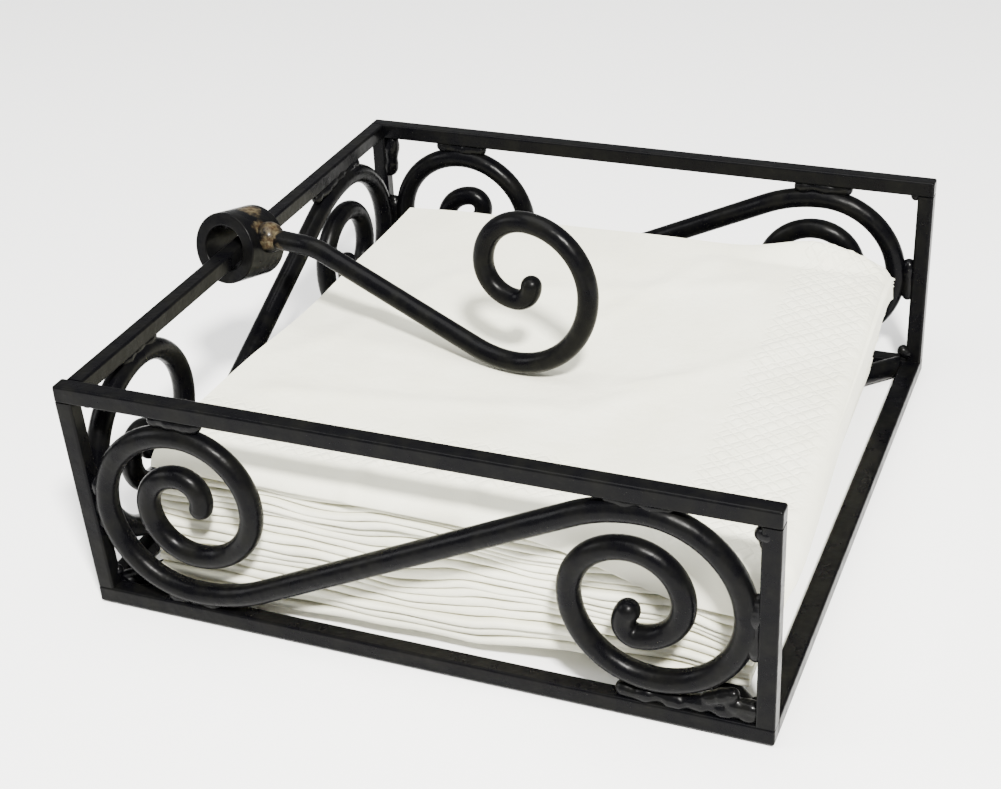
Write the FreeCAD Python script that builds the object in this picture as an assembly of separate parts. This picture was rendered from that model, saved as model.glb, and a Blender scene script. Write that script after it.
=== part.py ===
import FreeCAD, Part
import math
import os
from collections import namedtuple
from FreeCAD import Vector

# Napkin dispenser for a serving counter: an open tray welded from square bar, with
# scrollwork of round rod on three sides, a cross of rods for a floor, and a coiled
# arm that swings on the left top rail and holds the napkins down.
#
# Lengths are millimetres. While modelling, x runs from the left outer face to the
# right, y from the front outer face to the back, and z up from the table. Each part
# is moved to the model's origin, the bottom centre of the bounding box, as it is
# written.

# Tray, welded from 3/16 inch square bar
WIDTH = 187.0
DEPTH = 191.0
HEIGHT = 66.0
BAR = 4.8
BAR_EDGE_RADIUS = 0.7
RIGHT_RAIL_WIDTH = 6.0  # the sill of the open side is of heavier bar
LEAN = 1.5  # the front left post leans: out by this at its top, in by it at its foot

# Scrollwork and floor, of 1/4 inch rod. Each scroll is bent by hand, so its two coils
# differ: the gaps that they leave to the rail and to the post, the radii of their
# quarter turns, inwards, and the last bend at the tip, in degrees.
ROD_RADIUS = 3.1
TIP_BEND_RADIUS = 6.0
Coil = namedtuple("Coil", "off_rail off_post radii tip_turn")
FRONT_SLOPE = 26.0  # degrees, of the straight run through the middle of the scroll
FRONT_RIGHT_COIL = Coil(0.0, 0.0, (25.1, 22.0, 21.5, 15.0, 13.5, 11.3, 3.5), 35.0)
FRONT_LEFT_COIL = Coil(0.0, 0.0, (23.4, 24.3, 18.7, 16.9, 13.4, 10.0, 6.0), 20.0)
BACK_SLOPE = 25.0
BACK_RIGHT_COIL = Coil(1.8, 2.1, (24.0, 22.0, 19.5, 16.0, 13.0, 11.0, 3.7), 35.0)
BACK_LEFT_COIL = Coil(0.0, 1.8, (26.1, 22.3, 22.0, 15.0, 14.0, 9.6, 4.0), 35.0)
LEFT_SLOPE = 26.0
LEFT_FAR_COIL = Coil(0.0, 0.0, (25.1, 22.0, 21.5, 15.0, 13.5, 11.0, 3.7), 35.0)
LEFT_NEAR_COIL = Coil(0.0, 0.0, (25.1, 25.1, 19.2, 19.0, 10.5, 6.5, 3.7), 35.0)
LEFT_SCROLL_YAW = 0.65  # degrees, the far end of the left scroll stands further in
LEFT_SCROLL_IN = 0.5

# Welds
WELD_RADIUS = 1.9
WELD_LENGTH = 12.0
CORNER_WELD_RADIUS = 2.5
CORNER_WELD_OFF_RAIL = 4.2  # clears the floor rods' ends
FLOOR_CROSS_WELD_RADIUS = 5.2
FLOOR_END_WELD_RADIUS = 4.0
ARM_WELD_RADIUS = 4.6

# Arm that presses on the napkins, and the sleeve it swings on
ARM_ROD_RADIUS = 2.9
SLEEVE_RADIUS = 10.5
SLEEVE_BORE_RADIUS = 6.7
SLEEVE_LENGTH = 15.5
SLEEVE_RIM_RADIUS = 0.5
SLEEVE_MIDDLE_Y = 93.75
SLEEVE_LOOSE_LEFT = 1.2  # the sleeve is loose, and hangs this far left of its rail's middle
SLEEVE_PITCH = 13.0  # degrees, the loose sleeve tips on its rail with its front end up
ARM_YAW = 8.5  # degrees, the sleeve and its arm turn on the rail towards the front
ARM_ROOT_X = 11.1  # where the middle of the rod meets the sleeve's wall
ARM_ROOT_Z = 67.0
ARM_LEVEL_LENGTH = 12.7
ARM_BEND_RADIUS = 20.0
ARM_DROP_ANGLE = 20.9
ARM_DROP_LENGTH = 52.7
ARM_FOOT_RADIUS = 30.0
ARM_COIL_RADII = (25.2, 18.1, 13.8, 9.7, 5.0)  # quarter turns, inwards

# Napkins
NAPKIN_WIDTH = 165.0
NAPKIN_DEPTH = 166.0
NAPKIN_LEFT = 12.0
NAPKIN_FRONT = 8.0
NAPKIN_STACK_HEIGHT = 33.8
NAPKIN_THICKNESS = 1.0
NAPKIN_CORNER_RADIUS = 4.0
SOFT_GAP = 0.3  # between napkins and what they lie on

# Places that follow from the dimensions above
RAIL_UNDERSIDE = HEIGHT - BAR
MIDDLE_HEIGHT = HEIGHT / 2
SLEEVE_MIDDLE = Vector(BAR / 2 - SLEEVE_LOOSE_LEFT, SLEEVE_MIDDLE_Y, HEIGHT - BAR / 2)
ROD_PROUD = ROD_RADIUS - BAR / 2  # the rods stand this far out of the bars' faces
RIGHTWARD = Vector(1, 0, 0)
BACKWARD = Vector(0, 1, 0)
UP = Vector(0, 0, 1)
LUMP_AXIS = Vector(1, 2, 3)


def sleeve_reach():
    """How far the tipped sleeve, with its rounded rims, comes out to the left of its middle."""
    yaw, pitch = math.radians(ARM_YAW), math.radians(SLEEVE_PITCH)
    along = math.sin(yaw) * math.cos(pitch)
    wall = (SLEEVE_RADIUS - SLEEVE_RIM_RADIUS) * math.sqrt(1 - along ** 2)
    return wall + (SLEEVE_LENGTH / 2 - SLEEVE_RIM_RADIUS) * along + SLEEVE_RIM_RADIUS


ORIGIN = Vector((SLEEVE_MIDDLE.x - sleeve_reach() + WIDTH) / 2, DEPTH / 2, 0)


def write(name, shape):
    """Move a part from the tray's corner to the model's origin and save it."""
    placed = shape.copy()
    placed.translate(-ORIGIN)
    placed.exportStep("parts/" + name + ".step")
    print(name, "valid" if placed.isValid() else "INVALID", round(placed.Volume, 1), len(placed.Solids))


def box(low, high):
    size = [h - l for l, h in zip(low, high)]
    return Part.makeBox(*size, Vector(*low))


def bar(low, high, open_ends):
    """A square bar between two corners, with its four long edges rounded, and the edges
    of its ends too where nothing covers them."""
    solid = box(low, high)
    size = [h - l for l, h in zip(low, high)]
    along = size.index(max(size))
    long_edges = [edge for edge in solid.Edges if abs(edge.Length - size[along]) < 0.001]
    return solid.makeFillet(BAR_EDGE_RADIUS, solid.Edges if open_ends else long_edges)


def leaning_blank():
    """The front left post before its edges are rounded: bar sheared to meet its rails."""
    foot = [Vector(LEAN, y, BAR) for y in (0, BAR)]
    head = [Vector(-LEAN, y, RAIL_UNDERSIDE) for y in (BAR, 0)]
    side = Part.Face(Part.makePolygon(foot + head + foot[:1]))
    return side.extrude(Vector(BAR, 0, 0))


def leaning_post():
    solid = leaning_blank()
    slant = math.hypot(2 * LEAN, RAIL_UNDERSIDE - BAR)
    long_edges = [edge for edge in solid.Edges if abs(edge.Length - slant) < 0.001]
    return solid.makeFillet(BAR_EDGE_RADIUS, long_edges)


class RodPath:
    """A path of tangent runs and bends in the upright plane y = 0."""

    def __init__(self, x, z, heading):
        self.end = Vector(x, 0, z)
        self.heading = heading
        self.edges = []
        self.length = 0

    def direction(self, turn=0.0):
        angle = math.radians(self.heading + turn)
        return Vector(math.cos(angle), 0, math.sin(angle))

    def run(self, length):
        start = self.end
        self.end = start + self.direction() * length
        self.edges.append(Part.LineSegment(start, self.end).toShape())
        self.length += length

    def bend(self, radius, turn):
        """Turn by some degrees, to the left where turn is positive."""
        start = self.end
        side = 90 if turn > 0 else -90
        centre = start + self.direction(side) * radius
        middle = centre + self.direction(turn / 2 - side) * radius
        self.end = centre + self.direction(turn - side) * radius
        self.edges.append(Part.Arc(start, middle, self.end).toShape())
        self.heading += turn
        self.length += radius * math.radians(abs(turn))

    def rod(self, radius):
        """A round rod along the path, with a rounded tip at its far end."""
        start = self.edges[0].Vertexes[0].Point
        tangent = self.edges[0].tangentAt(self.edges[0].FirstParameter)
        section = Part.Wire(Part.makeCircle(radius, start, tangent))
        solid = Part.Wire(self.edges).makePipeShell([section], True, False)
        expected = math.pi * radius ** 2 * self.length
        print("rod volume over expected", round(solid.Volume / expected, 4))
        return solid.fuse(Part.makeSphere(radius, self.end))


def coil_reach(coil, inner_width):
    """How far the nearest place to the rail is from the scroll's middle, sideways."""
    return inner_width / 2 - coil.off_post - ROD_RADIUS - coil.radii[0]


def coil_rise(coil):
    """How far the nearest place to the rail is from the scroll's middle, upright."""
    return RAIL_UNDERSIDE - MIDDLE_HEIGHT - coil.off_rail - ROD_RADIUS


def half_scroll(coil, slope, inner_width):
    """The right half of a scroll, from its middle at the origin, in the plane y = 0.

    Its straight run and the shoulder after it are as long as they must be for the coil
    to come to its place against the post and the rail.
    """
    angle = math.radians(slope)
    reach = coil_reach(coil, inner_width)
    rise = coil_rise(coil)
    spare = 1 - math.cos(angle)
    path = RodPath(0, 0, slope)
    path.run(rise * math.sin(angle) / spare - reach)
    path.bend((reach * math.sin(angle) - rise * math.cos(angle)) / spare, -slope)
    for radius in coil.radii:
        path.bend(radius, -90)
    path.bend(TIP_BEND_RADIUS, -coil.tip_turn)
    return path.rod(ROD_RADIUS)


def scroll(right_coil, left_coil, slope, inner_width):
    """An S-shaped rod with a coil at each end, centred on the origin in the plane y = 0."""
    right_half = half_scroll(right_coil, slope, inner_width)
    left_half = half_scroll(left_coil, slope, inner_width)
    left_half.rotate(Vector(0, 0, 0), BACKWARD, 180)
    return right_half.fuse(left_half).removeSplitter()


def bead(start, end, radius):
    """One pass of weld: a round-ended bar of metal."""
    first = Vector(*start)
    last = Vector(*end)
    span = last - first
    body = Part.makeCylinder(radius, span.Length, first, span)
    return body.fuse([Part.makeSphere(radius, first), Part.makeSphere(radius, last)])


def lump(centre, radius):
    """A blob of weld. Its poles are turned away from the bars that trim it."""
    return Part.makeSphere(radius, Vector(*centre), LUMP_AXIS)


def welds(shapes, space, metal):
    """Weld metal: blobs trimmed to a space, less the bars and rods that they join."""
    whole = shapes[0].fuse(shapes[1:])
    return whole.common(space).cut(metal)


def bar_extents():
    """Opposite corners of the upright and level bars: the end rails run over and under
    the posts, and the side rails fit between the ends."""
    top = (RAIL_UNDERSIDE, HEIGHT)
    foot = (0, BAR)
    between = (BAR, DEPTH - BAR)
    sill = (WIDTH - RIGHT_RAIL_WIDTH, WIDTH)
    extents = {}
    for end, y in (("front", (0, BAR)), ("back", (DEPTH - BAR, DEPTH))):
        shift = LEAN if end == "front" else 0
        extents["top_rail_" + end] = ((-shift, WIDTH), y, top)
        extents["bottom_rail_" + end] = ((shift, WIDTH), y, foot)
        extents["post_" + end + "_right"] = ((WIDTH - BAR, WIDTH), y, (BAR, RAIL_UNDERSIDE))
    extents["post_back_left"] = ((0, BAR), (DEPTH - BAR, DEPTH), (BAR, RAIL_UNDERSIDE))
    extents["top_rail_left"] = ((0, BAR), between, top)
    extents["bottom_rail_left"] = ((0, BAR), between, foot)
    extents["bottom_rail_right"] = (sill, between, foot)
    return {name: tuple(zip(*spans)) for name, spans in extents.items()}


def tray_scrolls():
    """The three scrolls, in the middle plane of the front, back and left bars."""
    across = WIDTH - 2 * BAR
    deep = DEPTH - 2 * BAR
    front = scroll(FRONT_RIGHT_COIL, FRONT_LEFT_COIL, FRONT_SLOPE, across)
    front.translate(Vector(WIDTH / 2, BAR / 2, MIDDLE_HEIGHT))
    back = scroll(BACK_RIGHT_COIL, BACK_LEFT_COIL, BACK_SLOPE, across)
    back.translate(Vector(WIDTH / 2, DEPTH - BAR / 2, MIDDLE_HEIGHT))
    left = scroll(LEFT_FAR_COIL, LEFT_NEAR_COIL, LEFT_SLOPE, deep)
    left.rotate(Vector(0, 0, 0), UP, 90 - LEFT_SCROLL_YAW)
    left.translate(Vector(BAR / 2 + LEFT_SCROLL_IN, DEPTH / 2, MIDDLE_HEIGHT))
    return {"front": front, "back": back, "left": left}


def floor_space():
    """The space between the bottom rails, as high as the floor rods are thick."""
    return box((BAR, BAR, 0), (WIDTH - RIGHT_RAIL_WIDTH, DEPTH - BAR, 2 * ROD_RADIUS))


def floor_rods():
    """A cross of rods between the inner corners: one whole, and two halves against it."""
    inside = floor_space()
    bounds = inside.BoundBox
    rods = []
    for y_from, y_to in ((bounds.YMin, bounds.YMax), (bounds.YMax, bounds.YMin)):
        start = Vector(bounds.XMin, y_from, ROD_RADIUS)
        end = Vector(bounds.XMax, y_to, ROD_RADIUS)
        past = (end - start).normalize() * 2 * ROD_RADIUS
        span = end - start + past * 2
        rods.append(Part.makeCylinder(ROD_RADIUS, span.Length, start - past, span).common(inside))
    whole, crossed = rods
    back_half, front_half = sorted(crossed.cut(whole).Solids, key=lambda s: -s.CenterOfMass.y)
    return {
        "floor_rod_long": whole,
        "floor_rod_half_front": front_half,
        "floor_rod_half_back": back_half,
    }


def scroll_welds(coils, inner_width, along):
    """Passes of weld where a scroll's two coils meet their posts and rails.

    along(s, z) places a distance from the scroll's middle, and a height, on the face.
    """
    side = inner_width / 2
    head = RAIL_UNDERSIDE - MIDDLE_HEIGHT
    half = WELD_LENGTH / 2
    shapes = []
    for sign, coil in zip((1, -1), coils):
        def pass_between(first, last, gap):
            ends = [along(sign * s, MIDDLE_HEIGHT + sign * z) for s, z in (first, last)]
            shapes.append(bead(*ends, WELD_RADIUS + gap / 4))

        outer = coil_reach(coil, inner_width)
        depth = head - 1 - coil.off_rail / 2
        pass_between((outer - half, depth), (outer + half, depth), coil.off_rail)

        level = coil_rise(coil) - coil.radii[0]
        edge = side - 1 - coil.off_post / 2
        pass_between((edge, level - half), (edge, level + half), coil.off_post)

        inner = side - coil.off_post - ROD_RADIUS - coil.radii[1]
        gap = head - ROD_RADIUS + level - coil.radii[1]
        depth = 1 + gap / 2 - head
        pass_between((inner - half, depth), (inner + half, depth), gap)
    return shapes


def front_extra_welds():
    """Heavier welds at the right end of the front face: under the coil, and on the post."""
    y = BAR / 2
    return [
        bead((173.5, y, 6.5), (175.0, y, 11.5), 2.5),
        bead((155.0, y, 6.0), (163.0, y, 6.6), 2.6),
        lump((183.6, y, 57.2), 3.6),
        bead((180.6, y, 29.0), (180.6, y, 40.0), 2.7),
    ]


def back_extra_weld():
    """A long fillet down from the top rail in the back left corner."""
    y = DEPTH - BAR / 2
    return bead((6.5, y, 59.5), (4.9, y, 49.0), 2.4)


def corner_welds(z, corners):
    """Blobs in inner corners between the posts and the rails, at one height."""
    inset = BAR + 0.2
    places = {"left": inset, "right": WIDTH - inset, "front": inset, "back": DEPTH - inset}
    return [lump((places[side], places[end], z), CORNER_WELD_RADIUS) for side, end in corners]


def floor_welds():
    """Blobs at the middle of the cross and at its four ends."""
    bounds = floor_space().BoundBox
    inset = BAR / 2
    middle = (bounds.Center.x, bounds.Center.y, ROD_RADIUS)
    shapes = [lump(middle, FLOOR_CROSS_WELD_RADIUS)]
    for x in (bounds.XMin + inset, bounds.XMax - inset):
        for y in (bounds.YMin + inset, bounds.YMax - inset):
            shapes.append(lump((x, y, ROD_RADIUS), FLOOR_END_WELD_RADIUS))
    return shapes


def sleeve_cylinder(radius, length):
    """A cylinder on the axis of the tipped sleeve."""
    cylinder = Part.makeCylinder(radius, length, Vector(0, -length / 2, 0), BACKWARD)
    cylinder.rotate(Vector(0, 0, 0), RIGHTWARD, -SLEEVE_PITCH)
    cylinder.rotate(Vector(0, 0, 0), UP, -ARM_YAW)
    cylinder.translate(SLEEVE_MIDDLE)
    return cylinder


def sleeve():
    ring = sleeve_cylinder(SLEEVE_RADIUS, SLEEVE_LENGTH)
    ring = ring.cut(sleeve_cylinder(SLEEVE_BORE_RADIUS, SLEEVE_LENGTH))
    rims = [edge for edge in ring.Edges if edge.Closed]
    return ring.makeFillet(SLEEVE_RIM_RADIUS, rims)


def sleeve_envelope():
    """A solid plug of the sleeve's outside, longer than it, for trimming what meets it."""
    return sleeve_cylinder(SLEEVE_RADIUS, 3 * SLEEVE_LENGTH)


def arm_rod():
    """The arm: level out of the sleeve, down to the napkins, then coiled up on itself."""
    path = RodPath(-ARM_ROD_RADIUS, 0, 0)
    path.run(ARM_ROD_RADIUS + ARM_LEVEL_LENGTH)
    path.bend(ARM_BEND_RADIUS, -ARM_DROP_ANGLE)
    path.run(ARM_DROP_LENGTH)
    path.bend(ARM_FOOT_RADIUS, ARM_DROP_ANGLE)
    for radius in ARM_COIL_RADII:
        path.bend(radius, 90)
    rod = path.rod(ARM_ROD_RADIUS)
    rod.rotate(Vector(0, 0, 0), UP, -ARM_YAW)
    rod.translate(Vector(ARM_ROOT_X, SLEEVE_MIDDLE_Y, ARM_ROOT_Z))
    return rod.cut(sleeve_envelope())


def arm_weld(rod):
    """A collar of weld around the arm's root."""
    collar = lump((ARM_ROOT_X, SLEEVE_MIDDLE_Y, ARM_ROOT_Z), ARM_WELD_RADIUS)
    return collar.cut([sleeve_envelope(), rod])


def napkin_pad(bottom, thickness):
    """Napkins as one soft block with rounded upright corners."""
    low = (NAPKIN_LEFT, NAPKIN_FRONT, bottom)
    high = (NAPKIN_LEFT + NAPKIN_WIDTH, NAPKIN_FRONT + NAPKIN_DEPTH, bottom + thickness)
    pad = box(low, high)
    upright = [edge for edge in pad.Edges if abs(edge.tangentAt(edge.FirstParameter).z) > 0.9]
    return pad.makeFillet(NAPKIN_CORNER_RADIUS, upright)


def main():
    os.makedirs("parts", exist_ok=True)

    extents = bar_extents()
    end_rails = [level + "_rail_" + end for level in ("top", "bottom") for end in ("front", "back")]
    bars = {name: bar(*corners, name in end_rails) for name, corners in extents.items()}
    bars["post_front_left"] = leaning_post()
    scrolls = tray_scrolls()
    floor = floor_rods()
    for name, shape in bars.items():
        write(name, shape)
    for face, shape in scrolls.items():
        write("scroll_" + face, shape)
    for name, shape in floor.items():
        write(name, shape)

    blanks = [box(*corners) for corners in extents.values()]
    metal = [*blanks, leaning_blank(), *scrolls.values(), *floor.values()]
    tray_space = box((0, -ROD_PROUD, 0), (WIDTH, DEPTH + ROD_PROUD, HEIGHT))
    front = scroll_welds(
        (FRONT_RIGHT_COIL, FRONT_LEFT_COIL),
        WIDTH - 2 * BAR,
        lambda s, z: (WIDTH / 2 + s, BAR / 2, z),
    )
    back = scroll_welds(
        (BACK_RIGHT_COIL, BACK_LEFT_COIL),
        WIDTH - 2 * BAR,
        lambda s, z: (WIDTH / 2 + s, DEPTH - BAR / 2, z),
    )
    left = scroll_welds(
        (LEFT_FAR_COIL, LEFT_NEAR_COIL),
        DEPTH - 2 * BAR,
        lambda s, z: (BAR / 2, DEPTH / 2 + s, z),
    )
    bare_corners = (("left", "front"), ("right", "back"))
    all_corners = [(side, end) for side in ("left", "right") for end in ("front", "back")]
    top_corners = corner_welds(RAIL_UNDERSIDE, bare_corners)
    bottom_corners = corner_welds(BAR + CORNER_WELD_OFF_RAIL, all_corners)
    write("welds_scroll_front", welds(front + front_extra_welds(), tray_space, metal))
    write("welds_scroll_back", welds(back + [back_extra_weld()], tray_space, metal))
    write("welds_scroll_left", welds(left, tray_space, metal))
    write("welds_top_corners", welds(top_corners, tray_space, metal))
    write("welds_bottom_corners", welds(bottom_corners, tray_space, metal))
    write("welds_floor", welds(floor_welds(), floor_space(), list(floor.values())))

    rod = arm_rod()
    write("pivot_sleeve", sleeve())
    write("arm_rod", rod)
    write("arm_weld", arm_weld(rod))

    stack_bottom = 2 * ROD_RADIUS + SOFT_GAP
    top_bottom = stack_bottom + NAPKIN_STACK_HEIGHT + SOFT_GAP
    write("napkin_stack", napkin_pad(stack_bottom, NAPKIN_STACK_HEIGHT))
    write("top_napkin", napkin_pad(top_bottom, NAPKIN_THICKNESS))


main()
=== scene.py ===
import math

import bmesh
import bpy
import numpy as np
from mathutils import Matrix, Vector


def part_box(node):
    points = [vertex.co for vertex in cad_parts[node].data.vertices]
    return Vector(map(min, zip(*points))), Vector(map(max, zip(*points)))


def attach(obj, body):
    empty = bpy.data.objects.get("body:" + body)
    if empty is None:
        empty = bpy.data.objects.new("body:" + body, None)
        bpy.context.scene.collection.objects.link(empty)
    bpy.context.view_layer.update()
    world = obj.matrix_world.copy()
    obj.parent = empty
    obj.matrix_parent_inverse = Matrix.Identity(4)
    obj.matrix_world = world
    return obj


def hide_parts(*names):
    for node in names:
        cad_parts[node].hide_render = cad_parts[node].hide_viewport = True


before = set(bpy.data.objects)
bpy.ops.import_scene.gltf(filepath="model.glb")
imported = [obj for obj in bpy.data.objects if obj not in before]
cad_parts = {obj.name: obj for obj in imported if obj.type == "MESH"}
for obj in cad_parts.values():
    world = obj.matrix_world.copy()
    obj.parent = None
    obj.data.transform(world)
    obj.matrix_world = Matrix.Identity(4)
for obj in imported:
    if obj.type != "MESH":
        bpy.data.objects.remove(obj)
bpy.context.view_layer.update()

# Visual model of the napkin dispenser: paint and weld metal over the welded tray, and
# real quarter-folded napkins in place of the two soft blocks.
#
# Unless a comment says metres, lengths are millimetres, and places are measured from the
# tray's front left corner at table height. to_frame() turns them into the model's metres.

MM = 0.001
WIDTH = 187.0         # of the tray
BAR = 4.8             # side of the square bar
SILL = 6.0            # width of the bottom rail at the open side
CORNER = np.array([
    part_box("top_rail_back")[0].x,
    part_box("top_rail_front")[0].y,
    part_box("bottom_rail_front")[0].z,
])
TRAY_DEPTH = (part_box("top_rail_back")[1].y - CORNER[1]) / MM
RAIL_TOP = (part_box("top_rail_front")[1].z - CORNER[2]) / MM
RAIL_UNDERSIDE = RAIL_TOP - BAR
RNG = np.random.default_rng(20)


def to_frame(points):
    """Tray millimetres to the model's metres, for one point or an array of them."""
    return np.asarray(points, float) * MM + CORNER


# ---------------------------------------------------------------- camera, light, floor

SENSOR_WIDTH = 36.0
LENS = 64.95
CAMERA_PLACE = (259.34, -323.10, 286.02)
CAMERA_RIGHT = (0.92874, 0.36811, -0.04407)
CAMERA_FORWARD = (-0.33994, 0.79813, -0.49742)
NEAREST_SEEN = 0.01   # metres

FLOOR_SIZE = 40       # metres
FLOOR_DROP = 0.0005   # metres, just clear of the tray
FLOOR_WHITE = 0.93
WORLD_STRENGTH = 0.55


def add_camera():
    """A 65 mm lens that looks down on the tray from the front right."""
    camera = bpy.data.objects.new("camera", bpy.data.cameras.new("camera"))
    bpy.context.collection.objects.link(camera)
    camera.data.sensor_width = SENSOR_WIDTH
    camera.data.lens = LENS
    camera.data.clip_start = NEAREST_SEEN
    right = Vector(CAMERA_RIGHT).normalized()
    forward = Vector(CAMERA_FORWARD).normalized()
    up = right.cross(forward).normalized()
    turn = Matrix((right, up, -forward)).transposed().to_4x4()
    camera.matrix_world = Matrix.Translation(Vector(to_frame(CAMERA_PLACE))) @ turn
    bpy.context.scene.camera = camera


def add_area_light(name, place, size, power, colour=(1.0, 1.0, 1.0)):
    """A round light that faces the model's origin. Its place and size are in metres."""
    light = bpy.data.lights.new(name, "AREA")
    light.shape = "DISK"
    light.size = size
    light.energy = power
    light.color = colour
    lamp = bpy.data.objects.new(name, light)
    bpy.context.collection.objects.link(lamp)
    lamp.location = place
    lamp.rotation_euler = (-Vector(place)).to_track_quat("-Z", "Y").to_euler()


def add_floor():
    bpy.ops.mesh.primitive_plane_add(size=FLOOR_SIZE)
    floor = bpy.context.object
    floor.name = "floor"
    floor.location.z = -FLOOR_DROP
    material = bpy.data.materials.new("floor")
    material.use_nodes = True
    shader = material.node_tree.nodes["Principled BSDF"]
    shader.inputs["Base Color"].default_value = (FLOOR_WHITE, FLOOR_WHITE, FLOOR_WHITE, 1)
    shader.inputs["Roughness"].default_value = 0.9
    floor.data.materials.append(material)


def add_studio():
    """A white floor, one small soft key light above the camera, and a dim wide fill."""
    add_floor()
    add_area_light("key", place=(0.42, -0.67, 0.90), size=0.13, power=62, colour=(1.0, 0.985, 0.94))
    add_area_light("overhead", place=(-0.15, -0.1, 1.2), size=1.0, power=22, colour=(1.0, 1.0, 0.98))
    add_area_light("left", place=(-1.1, -0.5, 0.7), size=0.6, power=9)
    world = bpy.data.worlds.new("world")
    world.use_nodes = True
    background = world.node_tree.nodes["Background"]
    background.inputs["Color"].default_value = (1, 1, 1, 1)
    background.inputs["Strength"].default_value = WORLD_STRENGTH
    bpy.context.scene.world = world


# ---------------------------------------------------------------- node material helpers

# A Mix node has one socket of each name for every data type. These are the colour ones.
MIX_FIRST, MIX_SECOND, MIX_RESULT = 6, 7, 2


class Nodes:
    """Short ways to build one material's node tree."""

    def __init__(self, name):
        self.material = bpy.data.materials.new(name)
        self.material.use_nodes = True
        self.tree = self.material.node_tree
        self.shader = self.tree.nodes["Principled BSDF"]

    def set(self, **values):
        for name, value in values.items():
            self.shader.inputs[name.replace("_", " ")].default_value = value

    def add(self, kind, **settings):
        node = self.tree.nodes.new(kind)
        for name, value in settings.items():
            setattr(node, name, value)
        return node

    def link(self, source, target):
        self.tree.links.new(source, target)

    def feed(self, socket, value):
        """Put a number or colour on a socket, or link another socket to it."""
        if isinstance(value, bpy.types.NodeSocket):
            self.link(value, socket)
        else:
            socket.default_value = value

    def object_place(self):
        return self.add("ShaderNodeTexCoord").outputs["Object"]

    def math(self, operation, first, second=0.0):
        node = self.add("ShaderNodeMath", operation=operation)
        self.feed(node.inputs[0], first)
        self.feed(node.inputs[1], second)
        return node.outputs[0]

    def noise(self, scale, detail, roughness, place):
        """Cloudy noise from 0 to 1. Its scale is in features to the metre."""
        node = self.add("ShaderNodeTexNoise")
        node.inputs["Scale"].default_value = scale
        node.inputs["Detail"].default_value = detail
        node.inputs["Roughness"].default_value = roughness
        self.link(place, node.inputs["Vector"])
        return node.outputs["Fac"]

    def range(self, value, low, high, to_low=0.0, to_high=1.0, smooth=False):
        kind = "SMOOTHSTEP" if smooth else "LINEAR"
        node = self.add("ShaderNodeMapRange", interpolation_type=kind)
        self.link(value, node.inputs["Value"])
        limits = {"From Min": low, "From Max": high, "To Min": to_low, "To Max": to_high}
        for name, number in limits.items():
            node.inputs[name].default_value = number
        return node.outputs["Result"]

    def mix(self, factor, first, second):
        node = self.add("ShaderNodeMix", data_type="RGBA")
        self.feed(node.inputs["Factor"], factor)
        self.feed(node.inputs[MIX_FIRST], first)
        self.feed(node.inputs[MIX_SECOND], second)
        return node.outputs[MIX_RESULT]

    def bump(self, height, strength, distance, below=None):
        """Bump over the normal below. The distance is in metres."""
        node = self.add("ShaderNodeBump")
        node.inputs["Strength"].default_value = strength
        node.inputs["Distance"].default_value = distance
        self.link(height, node.inputs["Height"])
        if below is not None:
            self.link(below, node.inputs["Normal"])
        return node.outputs["Normal"]


# ---------------------------------------------------------------- paint

BLACK = (0.0012, 0.0012, 0.0016, 1)
BLACK_WORN = (0.0030, 0.0030, 0.0026, 1)
BARE_STEEL = (0.085, 0.068, 0.038, 1)
RUST = (0.030, 0.018, 0.009, 1)
PAINT_SPECULAR = 0.05
CLOUD_SCALE = 160     # of the paint's patches of wear, to the metre
WAVE_SCALE = 190      # of its brush marks
GRIT_SCALE = 1100     # of the dust in it
RAGGED_SCALE = 420    # of a worn spot's ragged edge
RUST_SCALE = 700      # of the rust in a worn spot
RAGGED_DEPTH = 0.006  # metres, how far the ragged edge reaches in
SPOT_FADE_START, SPOT_FADE_END = 0.0015, 0.0045     # metres, outside a spot's radius


def worn_mask(n, place, worn_spots):
    """1 where paint is missing, or None with no worn spots. A worn spot is a place and a
    radius in tray millimetres."""
    worn = None
    for spot, radius in worn_spots:
        gap = n.add("ShaderNodeVectorMath", operation="DISTANCE")
        n.link(place, gap.inputs[0])
        gap.inputs[1].default_value = tuple(to_frame(spot))
        ragged = n.math("MULTIPLY", n.noise(RAGGED_SCALE, 3, 0.7, place), RAGGED_DEPTH)
        away = n.math("ADD", gap.outputs["Value"], ragged)
        mask = n.range(away, radius * MM + SPOT_FADE_END, radius * MM + SPOT_FADE_START)
        worn = mask if worn is None else n.math("MAXIMUM", worn, mask)
    return worn


def black_paint(name, worn_spots=()):
    """Brushed-on semi-gloss black over rough mild steel, which shows at the worn spots,
    where the paint has burnt and rubbed off the weld."""
    n = Nodes(name)
    place = n.object_place()
    cloudy = n.noise(CLOUD_SCALE, 4, 0.6, place)
    colour = n.mix(n.range(cloudy, 0.42, 0.72), BLACK, BLACK_WORN)
    roughness = n.range(cloudy, 0.3, 0.7, 0.24, 0.36)
    worn = worn_mask(n, place, worn_spots)
    if worn is not None:
        rusty = n.range(n.noise(RUST_SCALE, 3, 0.6, place), 0.4, 0.6)
        colour = n.mix(worn, colour, n.mix(rusty, BARE_STEEL, RUST))
        roughness = n.math("ADD", roughness, n.math("MULTIPLY", worn, 0.12))
        n.link(n.math("MULTIPLY", worn, 0.3), n.shader.inputs["Metallic"])
    n.link(colour, n.shader.inputs["Base Color"])
    n.link(roughness, n.shader.inputs["Roughness"])
    uneven = n.bump(n.noise(WAVE_SCALE, 2, 0.5, place), 0.45, 0.0006)
    grit = n.bump(n.noise(GRIT_SCALE, 3, 0.6, place), 0.22, 0.00009, uneven)
    n.link(grit, n.shader.inputs["Normal"])
    n.set(Specular_IOR_Level=PAINT_SPECULAR)
    return n.material


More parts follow.
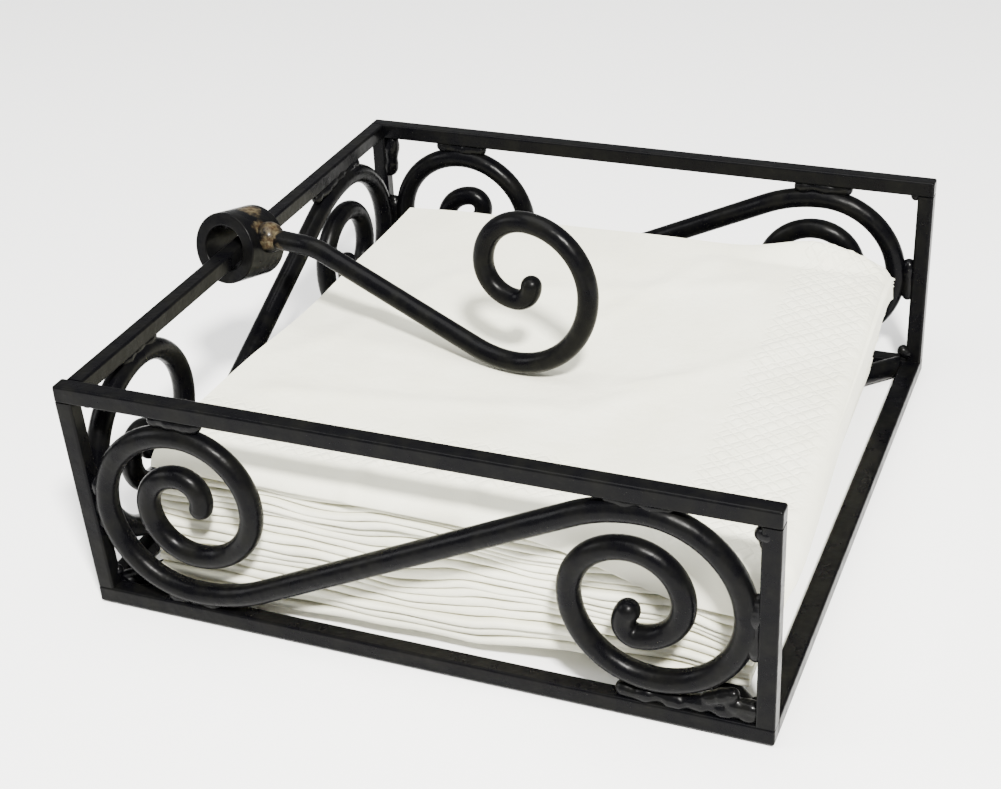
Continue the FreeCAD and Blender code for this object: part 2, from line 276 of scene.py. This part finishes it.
def weld_paint(name, worn_spots=()):
    """The same paint, thicker and shinier over the lumps of weld."""
    material = black_paint(name, worn_spots)
    shader = material.node_tree.nodes["Principled BSDF"]
    shader.inputs["Coat Weight"].default_value = 0.08
    shader.inputs["Coat Roughness"].default_value = 0.16
    return material


# ---------------------------------------------------------------- paper

NAPKIN = 161.0        # side of a folded napkin
PAPER = (0.74, 0.73, 0.60, 1)
PAPER_DARK = (0.67, 0.655, 0.52, 1)
CLOUDY_SCALE = 38     # of the paper's faint patches, to the metre
DIMPLE_SCALE = 75     # of its soft dents
CREPE_SCALE = 900     # of its crepe
EMBOSS_BAND = 29.0    # width of the embossed border
FRONT_MARGIN = 10.0   # plain strip between the border and the front fold
SIDE_MARGIN = 4.0     # plain strip between the border and the right fold
LATTICE = 15.5        # spacing of the embossed diamonds along each side
FINE_LINES = (-2.6, 2.6, -5.4, 5.4)     # the fine lines' places beside each main line
FINE_LINE_REACH = 0.055                 # half a fine line, as a share of the spacing
WHOLE_CELLS = 40      # added to the cells counted, so that the count is never negative


def paper(name, embossed):
    """Soft two-ply tissue, with or without an embossed border."""
    n = Nodes(name)
    place = n.object_place()
    patches = n.range(n.noise(CLOUDY_SCALE, 4, 0.6, place), 0.35, 0.7)
    n.link(n.mix(patches, PAPER, PAPER_DARK), n.shader.inputs["Base Color"])
    n.set(Roughness=0.92, Specular_IOR_Level=0.2, Sheen_Weight=0.12, Sheen_Roughness=0.6)
    n.set(Subsurface_Weight=0.12, Subsurface_Scale=0.004, Subsurface_Radius=(1.0, 0.9, 0.8))
    crepe = n.bump(n.noise(CREPE_SCALE, 4, 0.65, place), 0.4, 0.00012)
    top = n.bump(n.noise(DIMPLE_SCALE, 4, 0.6, place), 0.55, 0.0012, crepe)
    if embossed:
        top = emboss(n, top)
    n.link(top, n.shader.inputs["Normal"])
    return n.material


def emboss(n, below):
    """The fine lines beside the lattice's main ones, which are in the mesh. They are drawn
    in the napkin's own coordinates, which its UV map holds in millimetres."""
    uv = n.add("ShaderNodeUVMap", uv_map="napkin").outputs["UV"]
    split = n.add("ShaderNodeSeparateXYZ")
    n.link(uv, split.inputs[0])
    across, deep = split.outputs["X"], split.outputs["Y"]
    lines = None
    for sign in (1, -1):
        slanted = n.math("ADD", across, n.math("MULTIPLY", deep, sign))
        for shift in FINE_LINES:
            start = (WHOLE_CELLS + 0.5) * LATTICE + shift
            cells = n.math("DIVIDE", n.math("ADD", slanted, start), LATTICE)
            away = n.math("ABSOLUTE", n.math("SUBTRACT", n.math("FRACT", cells), 0.5))
            line = n.range(away, FINE_LINE_REACH, 0.0, smooth=True)
            lines = line if lines is None else n.math("MAXIMUM", lines, line)
    right_start = NAPKIN - EMBOSS_BAND
    right = n.range(across, right_start - 2, right_start + 1, smooth=True)
    front = n.range(deep, EMBOSS_BAND + 2, EMBOSS_BAND - 1, smooth=True)
    band = n.math("MAXIMUM", right, front)
    past_front = n.range(deep, FRONT_MARGIN, FRONT_MARGIN + 4, smooth=True)
    short_of_side = n.range(across, NAPKIN - SIDE_MARGIN, NAPKIN - SIDE_MARGIN - 4, smooth=True)
    band = n.math("MULTIPLY", n.math("MULTIPLY", band, past_front), short_of_side)
    return n.bump(n.math("MULTIPLY", lines, band), 0.8, 0.0003, below)


# ---------------------------------------------------------------- weld metal

LUMP_STEP = 0.3       # from lump to lump along a pass, as a share of its radius
LUMP_STRETCH = 0.05   # how far from round a lump may be, as a share
LUMP_DRIFT = 0.16     # how far a pass wanders
DRIFT_PACE = np.array((1.1, 1.7, 1.4))
SWELL, SWELL_PACE = 0.09, 2.1
END_TAPER = 0.12
WELD_VOXEL = 0.32
WELD_SMOOTHING = 12   # passes
WELD_RUFFLE = 0.3     # height of the rough skin
RUFFLE_SIZE = 0.0031  # metres, of its bumps


def string_of_lumps(start, end, radius):
    """Lumps laid closely along a pass of weld, which wanders and swells a little."""
    start, end = np.array(start, float), np.array(end, float)
    count = max(2, int(np.linalg.norm(end - start) / (radius * LUMP_STEP)) + 1)
    phase = RNG.uniform(0, 6, 4)
    lumps = []
    for share in np.linspace(0, 1, count):
        travel = share * count * LUMP_STEP
        drift = LUMP_DRIFT * np.sin(travel * DRIFT_PACE + phase[:3])
        swell = 1 + SWELL * np.sin(travel * SWELL_PACE + phase[3]) - END_TAPER * (2 * share - 1) ** 6
        lumps.append((start + (end - start) * share + drift, radius * swell))
    return lumps


def blob_mesh(name, lumps):
    """One solid of weld metal: overlapping lumps remeshed into one skin and roughened.
    Each lump is a place and a radius in tray millimetres."""
    build = bmesh.new()
    for place, radius in lumps:
        made = bmesh.ops.create_icosphere(build, subdivisions=3, radius=radius * MM)
        stretch = 1 + LUMP_STRETCH * RNG.uniform(-1, 1, 3)
        for vertex in made["verts"]:
            vertex.co = Vector(vertex.co * Vector(stretch)) + Vector(to_frame(place))
    mesh = bpy.data.meshes.new(name)
    build.to_mesh(mesh)
    build.free()
    piece = bpy.data.objects.new(name, mesh)
    bpy.context.collection.objects.link(piece)
    remesh = piece.modifiers.new("skin", "REMESH")
    remesh.mode = "VOXEL"
    remesh.voxel_size = WELD_VOXEL * MM
    smooth = piece.modifiers.new("smooth", "SMOOTH")
    smooth.iterations = WELD_SMOOTHING
    texture = bpy.data.textures.new(name, "CLOUDS")
    texture.noise_scale = RUFFLE_SIZE
    rough = piece.modifiers.new("rough", "DISPLACE")
    rough.texture = texture
    rough.strength = WELD_RUFFLE * MM
    rough.mid_level = 0.5
    bake_modifiers(piece)
    piece.data.shade_smooth()
    return piece


def bake_modifiers(piece):
    """Keep the mesh that the modifiers make, and drop the modifiers."""
    graph = bpy.context.evaluated_depsgraph_get()
    final = bpy.data.meshes.new_from_object(piece.evaluated_get(graph))
    piece.modifiers.clear()
    piece.data = final


def weld_passes():
    """The passes of weld that each CAD weld node stands for. A pass is its start, its end
    and its radius."""
    front, back, left = BAR / 2, TRAY_DEPTH - BAR / 2, BAR / 2
    right_post, back_post = WIDTH - BAR, TRAY_DEPTH - BAR
    passes = {
        "welds_scroll_front": [
            ((146, front, 60.6), (160, front, 60.4), 2.0),
            ((181.4, front, 24), (180.9, front, 33), 2.3),
            ((180.9, front, 33), (181.6, front, 39.5), 2.4),
            ((149, front, 6.2), (169, front, 6.2), 2.2),
            ((165, front, 6.8), (181, front, 6.2), 2.1),
            ((170.0, front, 8.4), (176.5, front, 11.4), 2.0),
            ((176.0, front, 8.0), (181.5, front, 8.2), 2.2),
            ((182.0, front, 58.2), (184.2, front, 58.6), 2.3),
            ((182.4, front, 58.2), (183.4, front, 54.4), 1.7),
            ((24, front, 5.6), (38, front, 5.8), 2.0),
            ((6.3, front, 25.0), (6.2, front, 38), 2.1),
            ((26, front, 60.0), (38, front, 59.8), 2.1),
        ],
        "welds_scroll_back": [
            ((146, back, 60.0), (160, back, 60.0), 2.3),
            ((181.0, back, 27), (181.0, back, 37), 2.3),
            ((149, back, 6.4), (161, back, 6.6), 2.2),
            ((6.8, back, 59.3), (5.0, back, 49.0), 2.5),
            ((25, back, 60.0), (39, back, 59.8), 2.2),
            ((5.9, back, 27), (5.9, back, 38), 2.2),
            ((34, back, 5.6), (46, back, 5.6), 2.0),
        ],
        "welds_scroll_left": [
            ((left + 1, 152, 60.6), (left + 1, 166, 60.4), 2.0),
            ((left + 1, TRAY_DEPTH - 5.9, 27), (left + 1, TRAY_DEPTH - 5.9, 39), 2.1),
            ((left, 26, 5.6), (left, 40, 5.8), 2.0),
            ((left, 6.0, 27), (left, 6.0, 39), 2.1),
            ((left, 26, 60.2), (left, 40, 60.4), 2.0),
            ((left + 1, 154, 6.6), (left + 1, 167, 7.0), 2.3),
            ((left + 1.2, 138, 59.6), (left + 1.2, 152, 60.8), 1.8),
        ],
        "welds_top_corners": [
            ((x - 0.2 * inward, y, RAIL_UNDERSIDE), (x + 0.9 * inward, y, RAIL_UNDERSIDE - 0.6), 2.1)
            for x, y, inward in ((BAR, BAR - 0.6, 1), (right_post, back + 0.2, -1))
        ],
        "welds_bottom_corners": [
            ((x, y, BAR + 2.6), (x + 0.8 * inward, y, BAR + 3.2), 2.0)
            for x, inward in ((BAR, 1), (right_post, -1))
            for y in (BAR - 0.4, back_post + 0.4)
        ],
    }
    middle, halfway = (BAR + WIDTH - SILL) / 2, TRAY_DEPTH / 2
    cross = [((middle - 2, halfway, 3.1), (middle + 2, halfway, 3.1), 2.5)]
    ends = [
        ((x, y, 3.0), (x + 1, y, 3.0), 2.1)
        for x in (BAR + 0.6, WIDTH - SILL - 1.6)
        for y in (BAR + 0.8, back_post - 0.8)
    ]
    passes["welds_floor"] = cross + ends
    return passes


def add_welds():
    """Lumpy weld metal in place of the plain CAD welds, at the same joints."""
    paint = weld_paint("weld_paint")
    for node, lines in weld_passes().items():
        lumps = [lump for line in lines for lump in string_of_lumps(*line)]
        piece = blob_mesh(node.replace("welds", "weld_metal"), lumps)
        piece.data.materials.append(paint)
        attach(piece, "tray")
        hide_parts(node)


# ---------------------------------------------------------------- shape of the stack

STACK_BOTTOM = 6.6
NAPKIN_COUNT = 17
PLY_GAPS = 4                       # a quarter-folded napkin is four layers thick
FOOT = (90.0, 81.0)                # where the arm presses
TOP_AT_FOOT = 39.9
TOP_AT_EDGE = 42.4
STACK_HEIGHT = TOP_AT_EDGE - STACK_BOTTOM
THICKNESS = RNG.uniform(0.8, 1.2, NAPKIN_COUNT)
THICKNESS *= STACK_HEIGHT / THICKNESS.sum()
LEVELS = np.cumsum(THICKNESS) - THICKNESS

MIDDLE = (95.2, 89.6)              # of the lowest layer
LEAN_RIGHT = 3.2                   # how far the top layer is to the right of the lowest
LEAN_FRONT, LEAN_BACK = 3.0, 3.5   # how far it is behind it, at the front and the back
BOTTOM_TURN, TWIST = 1.5, 1.9      # degrees, of the lowest layer and on the way up
SPLAY = 6.5           # how far the open fold at the right has spread, towards the front
SPLAY_START, SPLAY_RUN = 60, 120   # from the left side, and over how far it grows
SPLAY_BACK, SPLAY_DEPTH = 168, 125          # from the front, and over how far it grows
SOFT_EDGE, SOFT_EDGE_WIDTH = 0.9, 4         # drop of the upper layers' front folds
WAVES_REACH = 60                   # of the front's waves, back into the stack
DROOP = 3.0                        # of the lowest layer's front fold, which nothing holds up
DROOP_REACH = 22                   # back into the stack
DROOP_END, DROOP_FADE = 132, 24    # from the left side, where a floor rod holds it

# Ripples: height, lengths along x and y (or z, at the front), and phase.
TOP_RIPPLES = ((0.42, 17, 29, 0), (0.34, 11, -19, 1.3), (0.24, 31, 9.5, 0.4))
FRONT_RIPPLES = ((0.34, 9.3, 11, 0), (0.2, 4.9, -7, 2), (0.10, 2.3, 3, 1))
FLAT_AT_FOOT = 26                  # the arm presses the top's ripples flat this far out

# Hollows in the top: depth, place, and a width each way, or one width for both.
DISH = (TOP_AT_EDGE - TOP_AT_FOOT, FOOT, (46, 40))
LEFT_DROP = (2.0, (16, 122), (24, 40))
BACK_GROOVE = (0.9, (158, 165), (22, 3.2))
CORNER_DROPS = ((4.5, (182, 178), 9), (1.5, (17, 12), 14), (1.4, (20, 173), 32))

# The back edge's curl: height, middle and width along the edge, and where it starts and
# over how far it rises.
CURL, CURL_MIDDLE, CURL_WIDTH = 4.6, 155, 16
CURL_START, CURL_RUN = 164.5, 8

# Two ridges and a dip up the front, which lean left: height, place at the bottom, lean for
# each millimetre up, and the widths of the left and right flanks.
FRONT_RIDGES = ((2.5, 124, 1.35, 10, 24), (2.9, 163, 0.25, 20, 9), (-0.9, 101, 1.3, 11, 11))


def hump(distance, width):
    """1 at no distance, and falling smoothly to a third at the width."""
    return np.exp(-(distance / width) ** 2)


def crest(gap, left, right):
    """A ridge that is as wide as its two flanks say."""
    return hump(gap, np.where(gap < 0, left, right))


def smooth_step(share):
    """From 0 to 1, level at both ends."""
    return share ** 2 * (3 - 2 * share)


def hollow(x, y, depth, place, widths):
    """A smooth hollow, deepest at its place, with a width each way."""
    return depth * hump(x - place[0], widths[0]) * hump(y - place[1], widths[1])


def round_hollow(x, y, depth, place, width):
    """A smooth hollow that is as wide both ways."""
    return depth * hump(np.hypot(x - place[0], y - place[1]), width)


def ripples(x, y, parts):
    """Crossing ripples, each with a height, its lengths along x and y, and a phase."""
    return sum(
        height * np.sin(x / along_x + y / along_y + phase)
        for height, along_x, along_y, phase in parts
    )


def top_height(x, y):
    """Height of the stack's top: dished under the arm, dropped at its corners and left
    side, and curled up along the back towards the right."""
    uneven = ripples(x, y, TOP_RIPPLES) * (1 - round_hollow(x, y, 1, FOOT, FLAT_AT_FOOT))
    corners = sum(round_hollow(x, y, *drop) for drop in CORNER_DROPS)
    drops = corners + hollow(x, y, *LEFT_DROP)
    rise = smooth_step(np.clip((y - CURL_START) / CURL_RUN, 0, 1))
    curl = CURL * hump(x - CURL_MIDDLE, CURL_WIDTH) * rise
    return TOP_AT_EDGE - hollow(x, y, *DISH) + uneven - drops + curl - hollow(x, y, *BACK_GROOVE)


def waves(x, z):
    """How far a layer at height z rises and falls along the front of the stack."""
    ridges = sum(
        height * crest(x - (place - lean * z), left, right)
        for height, place, lean, left, right in FRONT_RIDGES
    )
    return ridges + ripples(x, z, FRONT_RIPPLES)


def stack_place(x, y, level, edge):
    """Bend one flat layer into the stack. x and y are from the napkin's middle, level is
    its height in a flat stack, and edge the distance from the napkin's front fold."""
    share = np.clip(level / STACK_HEIGHT, 0, 1.1)
    turn = np.radians(BOTTOM_TURN - TWIST * share)
    lean = LEAN_FRONT + (LEAN_BACK - LEAN_FRONT) * (y / NAPKIN + 0.5)
    across = MIDDLE[0] + LEAN_RIGHT * share + x * np.cos(turn) - y * np.sin(turn)
    deep = MIDDLE[1] + lean * share + x * np.sin(turn) + y * np.cos(turn)
    to_right = np.clip((across - SPLAY_START) / SPLAY_RUN, 0, 1) ** 2
    to_front = np.clip((SPLAY_BACK - deep) / SPLAY_DEPTH, 0, 1.2)
    across = across + SPLAY * share ** 1.4 * to_right * to_front
    top = top_height(across, deep) - SOFT_EDGE * share ** 3 * hump(edge, SOFT_EDGE_WIDTH)
    between = np.clip(share, 0, 1)
    swing = np.sin(np.pi * between) ** 0.8 * hump(edge, WAVES_REACH)
    up = STACK_BOTTOM + (top - STACK_BOTTOM) * share + waves(across, level) * swing
    unheld = np.clip((DROOP_END - across) / DROOP_FADE, 0, 1)
    up = up - DROOP * (1 - between) ** 3 * hump(edge, DROOP_REACH) * unheld
    return np.stack([across, deep, up], -1)


# ---------------------------------------------------------------- folded napkins

FOLD_DEPTH = 0.85     # the folds are flattened to this share of a half circle
SIDE_FOLD_STEPS = 5
FRONT_FOLD_STEPS = 10


def napkin_grid(ply, across_steps, deep_steps, fine_across=None, fine_deep=None):
    """The layers of a quarter-folded square as one grid. It is folded once at its right
    side, then at its front. Gives the places across and deep, and the height. The upper
    leaves may have finer steps."""
    upper_across = across_steps if fine_across is None else fine_across
    upper_deep = deep_steps if fine_deep is None else fine_deep
    side = np.radians(np.linspace(-90, 90, SIDE_FOLD_STEPS))[1:-1]
    turned = NAPKIN - ply / 2 + ply / 2 * np.cos(side)
    width = np.concatenate([across_steps, turned, upper_across[::-1]])
    offset = np.concatenate([
        np.full(len(across_steps), -ply / 2),
        ply / 2 * np.sin(side),
        np.full(len(upper_across), ply / 2),
    ])
    bend = np.radians(np.linspace(-90, 90, FRONT_FOLD_STEPS))[1:-1]
    below, above = np.zeros(len(deep_steps)), np.zeros(len(upper_deep))
    sine = np.concatenate([below - 1, np.sin(bend), above + 1])
    cosine = np.concatenate([below, np.cos(bend), above])
    run = np.concatenate([deep_steps[::-1], np.zeros(len(bend)), upper_deep])
    radius = ply + offset[None, :]
    outermost = 1.5 * ply
    deep = outermost * FOLD_DEPTH + run[:, None] - radius * FOLD_DEPTH * cosine[:, None]
    level = 2 * ply + radius * sine[:, None]
    across = np.broadcast_to(width[None, :], deep.shape)
    return across, deep, level


def grid_piece(name, places, material, uv=None):
    """A mesh over a grid of places, with the napkin's own coordinates as its UV map."""
    rows, columns = places.shape[:2]
    index = np.arange(rows * columns).reshape(rows, columns)
    corners = [index[:-1, :-1], index[:-1, 1:], index[1:, 1:], index[1:, :-1]]
    faces = np.stack(corners, -1).reshape(-1, 4)
    mesh = bpy.data.meshes.new(name)
    mesh.from_pydata(to_frame(places).reshape(-1, 3).tolist(), [], faces.tolist())
    if uv is not None:
        layer = mesh.uv_layers.new(name="napkin")
        loops = np.zeros(len(mesh.loops), int)
        mesh.loops.foreach_get("vertex_index", loops)
        layer.data.foreach_set("uv", uv.reshape(-1, 2)[loops].astype(np.float32).ravel())
    mesh.shade_smooth()
    mesh.materials.append(material)
    piece = bpy.data.objects.new(name, mesh)
    bpy.context.collection.objects.link(piece)
    return piece


FINE_UPPER_NAPKINS = 2                  # their whole top may show, so they have even steps
FOLD_STEPS = [0, 0.5, 1.2, 2.4]         # close together beside the front fold
COARSE_STEPS = [4, 8, 15, 28, 50, 80, 110, 135, 145, 152, 157]     # over the rest
PLY_SWELL = (1.02, 1.12)                # a napkin's layers, against its share of the stack
NAPKIN_SHIFT = (0.25, 0.6)              # most, across and deep
NAPKIN_TURN = 0.15                      # degrees, most
FOLD_WOBBLE = ((0.28, 17), (0.15, 5.1))     # the front fold's waves in and out: height, length
FOLD_PUFF = ((0.16, 8), (0.12, 3.7))        # and up and down
PUFF_REACH = 12                         # back from the front fold


def wobble(along, parts, phases):
    """Waves along one direction. A part is a height and a length."""
    return sum(
        height * np.sin(along / length + phase)
        for (height, length), phase in zip(parts, phases)
    )


def add_napkin(number, material):
    """One napkin of the stack, a little shifted, turned and puffed against the others."""
    ply = THICKNESS[number] / PLY_GAPS * RNG.uniform(*PLY_SWELL)
    last = NAPKIN - 1.5 * ply
    across_steps = np.linspace(0, NAPKIN - ply / 2, 120)
    deep_steps = np.array(FOLD_STEPS + COARSE_STEPS + [last - 0.5, last])
    if number >= NAPKIN_COUNT - FINE_UPPER_NAPKINS:
        deep_steps = np.concatenate([FOLD_STEPS, np.linspace(4, last, 60)])
    across, deep, level = napkin_grid(ply, across_steps, deep_steps)
    shift = RNG.uniform(-1, 1, 2) * NAPKIN_SHIFT
    turn = np.radians(RNG.uniform(-NAPKIN_TURN, NAPKIN_TURN))
    phase = RNG.uniform(0, 6, 4)
    x = across - NAPKIN / 2
    y = deep - NAPKIN / 2 + wobble(x, FOLD_WOBBLE, phase[:2])
    turned_x = x * np.cos(turn) - y * np.sin(turn) + shift[0]
    turned_y = x * np.sin(turn) + y * np.cos(turn) + shift[1]
    places = stack_place(turned_x, turned_y, LEVELS[number] + level, deep)
    places[..., 2] += wobble(across, FOLD_PUFF, phase[2:]) * hump(deep, PUFF_REACH)
    piece = grid_piece("napkin_%02d" % (number + 1), places, material)
    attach(piece, "napkins")
    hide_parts("napkin_stack")
    return piece


# ---------------------------------------------------------------- the top napkin

TOP_THICKNESS = 2.0
FRONT_EDGE = 11.8                       # of the stack, from the front
RIGHT_EDGE_BACK, RIGHT_EDGE_FRONT = 177.2, 184.6      # of the stack, from the left side
EDGE_BACK_AT, EDGE_FRONT_AT = 165, 42   # where it has those two values, from the front
OVERHANG_LEFT, OVERHANG_RIGHT = 2.2, 12.0     # past the front edge
OVERHANG_START, OVERHANG_RUN = 96, 46   # where it grows, from the left, and over how far
OVERHANG_SIDE = 3.0                     # past the right edge
DRAPE_RADIUS = 3.2
DRAPE_TURN = 0.95 * math.pi / 2         # it hangs not quite straight down
EMBOSS_HEIGHT = 0.34
LINE_REACH = 1.3                        # half the width of an embossed line
DIAMOND_SIZE, DIAMOND_REACH = 2.4, 1.2  # of the small diamonds' outlines
DIAMOND_HEIGHT = 0.8                    # as a share of the lines' height
KINKS = ((75, 2.4), (105.5, 2.8))       # soft folds in the hanging front: place and width
KINK_DEPTH = 0.5

# Soft creases in the top: start, end, height and width.
CREASES = [
    ((24, 46), (118, 66), 0.9, 4.5),
    ((60, 120), (150, 150), 0.8, 5.0),
    ((112, 58), (168, 122), 0.9, 4.5),
    ((96, 100), (130, 168), 0.7, 4.0),
    ((22, 60), (60, 140), 0.6, 5.0),
    ((73, 6), (80, 38), 0.9, 3.0),
    ((104, 6), (111, 40), 0.9, 3.0),
    ((118, 78), (142, 92), 0.6, 2.5),
]


def creases(x, y):
    """How far the creases lift the top. Each one fades out at its two ends."""
    lift = 0
    for (x0, y0), (x1, y1), height, width in CREASES:
        length = math.hypot(x1 - x0, y1 - y0)
        along_x, along_y = (x1 - x0) / length, (y1 - y0) / length
        travel = (x - x0) * along_x + (y - y0) * along_y
        off = (y - y0) * along_x - (x - x0) * along_y
        fade = np.clip(travel / 12, 0, 1) * np.clip((length - travel) / 12, 0, 1)
        lift = lift + height * hump(off, width) * fade
    return lift


def drape(places, above):
    """Bend what stands past the stack's right and front edges down over them. above is
    each point's height over the napkin's underside."""
    across, deep = places[..., 0], places[..., 1]
    to_front = np.clip((EDGE_BACK_AT - deep) / (EDGE_BACK_AT - EDGE_FRONT_AT), 0, 1.15)
    right = RIGHT_EDGE_BACK + (RIGHT_EDGE_FRONT - RIGHT_EDGE_BACK) * to_front - DRAPE_RADIUS
    front = FRONT_EDGE + DRAPE_RADIUS
    past_right = np.clip(across - right, 0, None)
    past_front = np.clip(front - deep, 0, None)
    past = np.hypot(past_right, past_front)
    angle = np.clip(past / DRAPE_RADIUS, 0, DRAPE_TURN)
    straight = past - angle * DRAPE_RADIUS
    reach = (DRAPE_RADIUS + above) * np.sin(angle) + straight * np.cos(angle)
    out = reach / np.maximum(past, 1e-6)
    drop = (DRAPE_RADIUS + above) * (1 - np.cos(angle)) + straight * np.sin(angle)
    bent = places.copy()
    bent[..., 0] = np.where(past_right > 0, right + past_right * out, across)
    bent[..., 1] = np.where(past_front > 0, front - past_front * out, deep)
    bent[..., 2] -= np.where(past > 0, drop, 0)
    return bent


def lattice_relief(across, deep):
    """The embossed border's main lines and the small diamond inside each lattice cell."""
    relief = 0
    gaps = []
    for sign in (1, -1):
        phase = (across + sign * deep) / LATTICE
        gap = np.abs(phase - np.round(phase)) * LATTICE
        gaps.append(LATTICE / 2 - gap)
        relief = np.maximum(relief, np.clip(1 - gap / LINE_REACH, 0, 1))
    ring = np.abs(np.maximum(gaps[0], gaps[1]) - DIAMOND_SIZE)
    relief = np.maximum(relief, DIAMOND_HEIGHT * np.clip(1 - ring / DIAMOND_REACH, 0, 1))
    right = np.clip((across - (NAPKIN - EMBOSS_BAND)) / 2, 0, 1)
    front = np.clip((EMBOSS_BAND - deep) / 2, 0, 1)
    past_front = np.clip((deep - (FRONT_MARGIN - 1)) / 4, 0, 1)
    short_of_side = np.clip((NAPKIN - SIDE_MARGIN - across) / 3, 0, 1)
    return smooth_step(relief) * np.maximum(right, front) * past_front * short_of_side


def add_top_napkin(material):
    """The napkin that the arm lies on, which sags over the front and right of the stack."""
    ply = TOP_THICKNESS / PLY_GAPS
    side, back = NAPKIN - ply / 2, NAPKIN - 1.5 * ply
    across_steps = np.concatenate([np.linspace(0, 130, 40), np.linspace(132, side, 24)])
    deep_steps = np.concatenate([[0, 0.5], np.linspace(1.2, 30, 26), np.linspace(34, back, 34)])
    fine_across = np.linspace(0, side, 250)
    fine_deep = np.concatenate([[0], np.linspace(0.6, back, 252)])
    across, deep, level = napkin_grid(ply, across_steps, deep_steps, fine_across, fine_deep)
    to_right = smooth_step(np.clip((across - OVERHANG_START) / OVERHANG_RUN, 0, 1))
    hang = OVERHANG_LEFT + (OVERHANG_RIGHT - OVERHANG_LEFT) * to_right
    x = across - NAPKIN / 2 + OVERHANG_SIDE * (across / NAPKIN) ** 3
    y = deep - NAPKIN / 2 - hang * (1 - deep / NAPKIN)
    on_top = np.full_like(deep, STACK_HEIGHT)
    no_edge = np.full_like(deep, NAPKIN)
    places = stack_place(x, y, on_top, no_edge)
    places[..., 2] += level + creases(places[..., 0], places[..., 1])
    places = drape(places, level)
    kink = sum(hump(places[..., 0] - place, width) for place, width in KINKS)
    places[..., 1] -= KINK_DEPTH * kink * np.clip((14 - places[..., 1]) / 3, 0, 1)
    top_leaf = np.clip((level - 3 * ply) / (0.4 * ply), 0, 1)
    lying = places[..., 2] > TOP_AT_EDGE - 2
    places[..., 2] += EMBOSS_HEIGHT * lattice_relief(across, deep) * top_leaf * lying
    piece = grid_piece("top_folded_napkin", places, material, np.stack([across, deep], -1))
    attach(piece, "napkin_on_top")
    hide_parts("top_napkin")
    return piece


def add_napkins():
    plain = paper("napkin_tissue", embossed=False)
    napkins = [add_napkin(number, plain) for number in range(NAPKIN_COUNT)]
    top = add_top_napkin(paper("napkin_tissue_embossed", embossed=True))


# ---------------------------------------------------------------- the CAD parts' paint

# Where the paint has gone from the arm's welds: a place and a radius.
WORN_SLEEVE = [((3.3, 97.5, 73.0), 2.6), ((9.3, 93.0, 70.0), 1.6)]
WORN_ARM = [((13.0, 92.5, 70.0), 2.0), ((16.5, 92.0, 65.4), 1.2)]
WORN_WELD = [((12.5, 93.5, 70.0), 2.4), ((13.0, 90.0, 67.0), 1.4)]


def paint_metal():
    plain = black_paint("black_paint")
    special = {
        "pivot_sleeve": black_paint("black_paint_sleeve", WORN_SLEEVE),
        "arm_rod": black_paint("black_paint_arm", WORN_ARM),
        "arm_weld": weld_paint("weld_paint_arm", WORN_WELD),
    }
    for name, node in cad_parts.items():
        if node.hide_render:
            continue
        node.data.materials.clear()
        node.data.materials.append(special.get(name, plain))


add_camera()
add_studio()
add_welds()
add_napkins()
paint_metal()
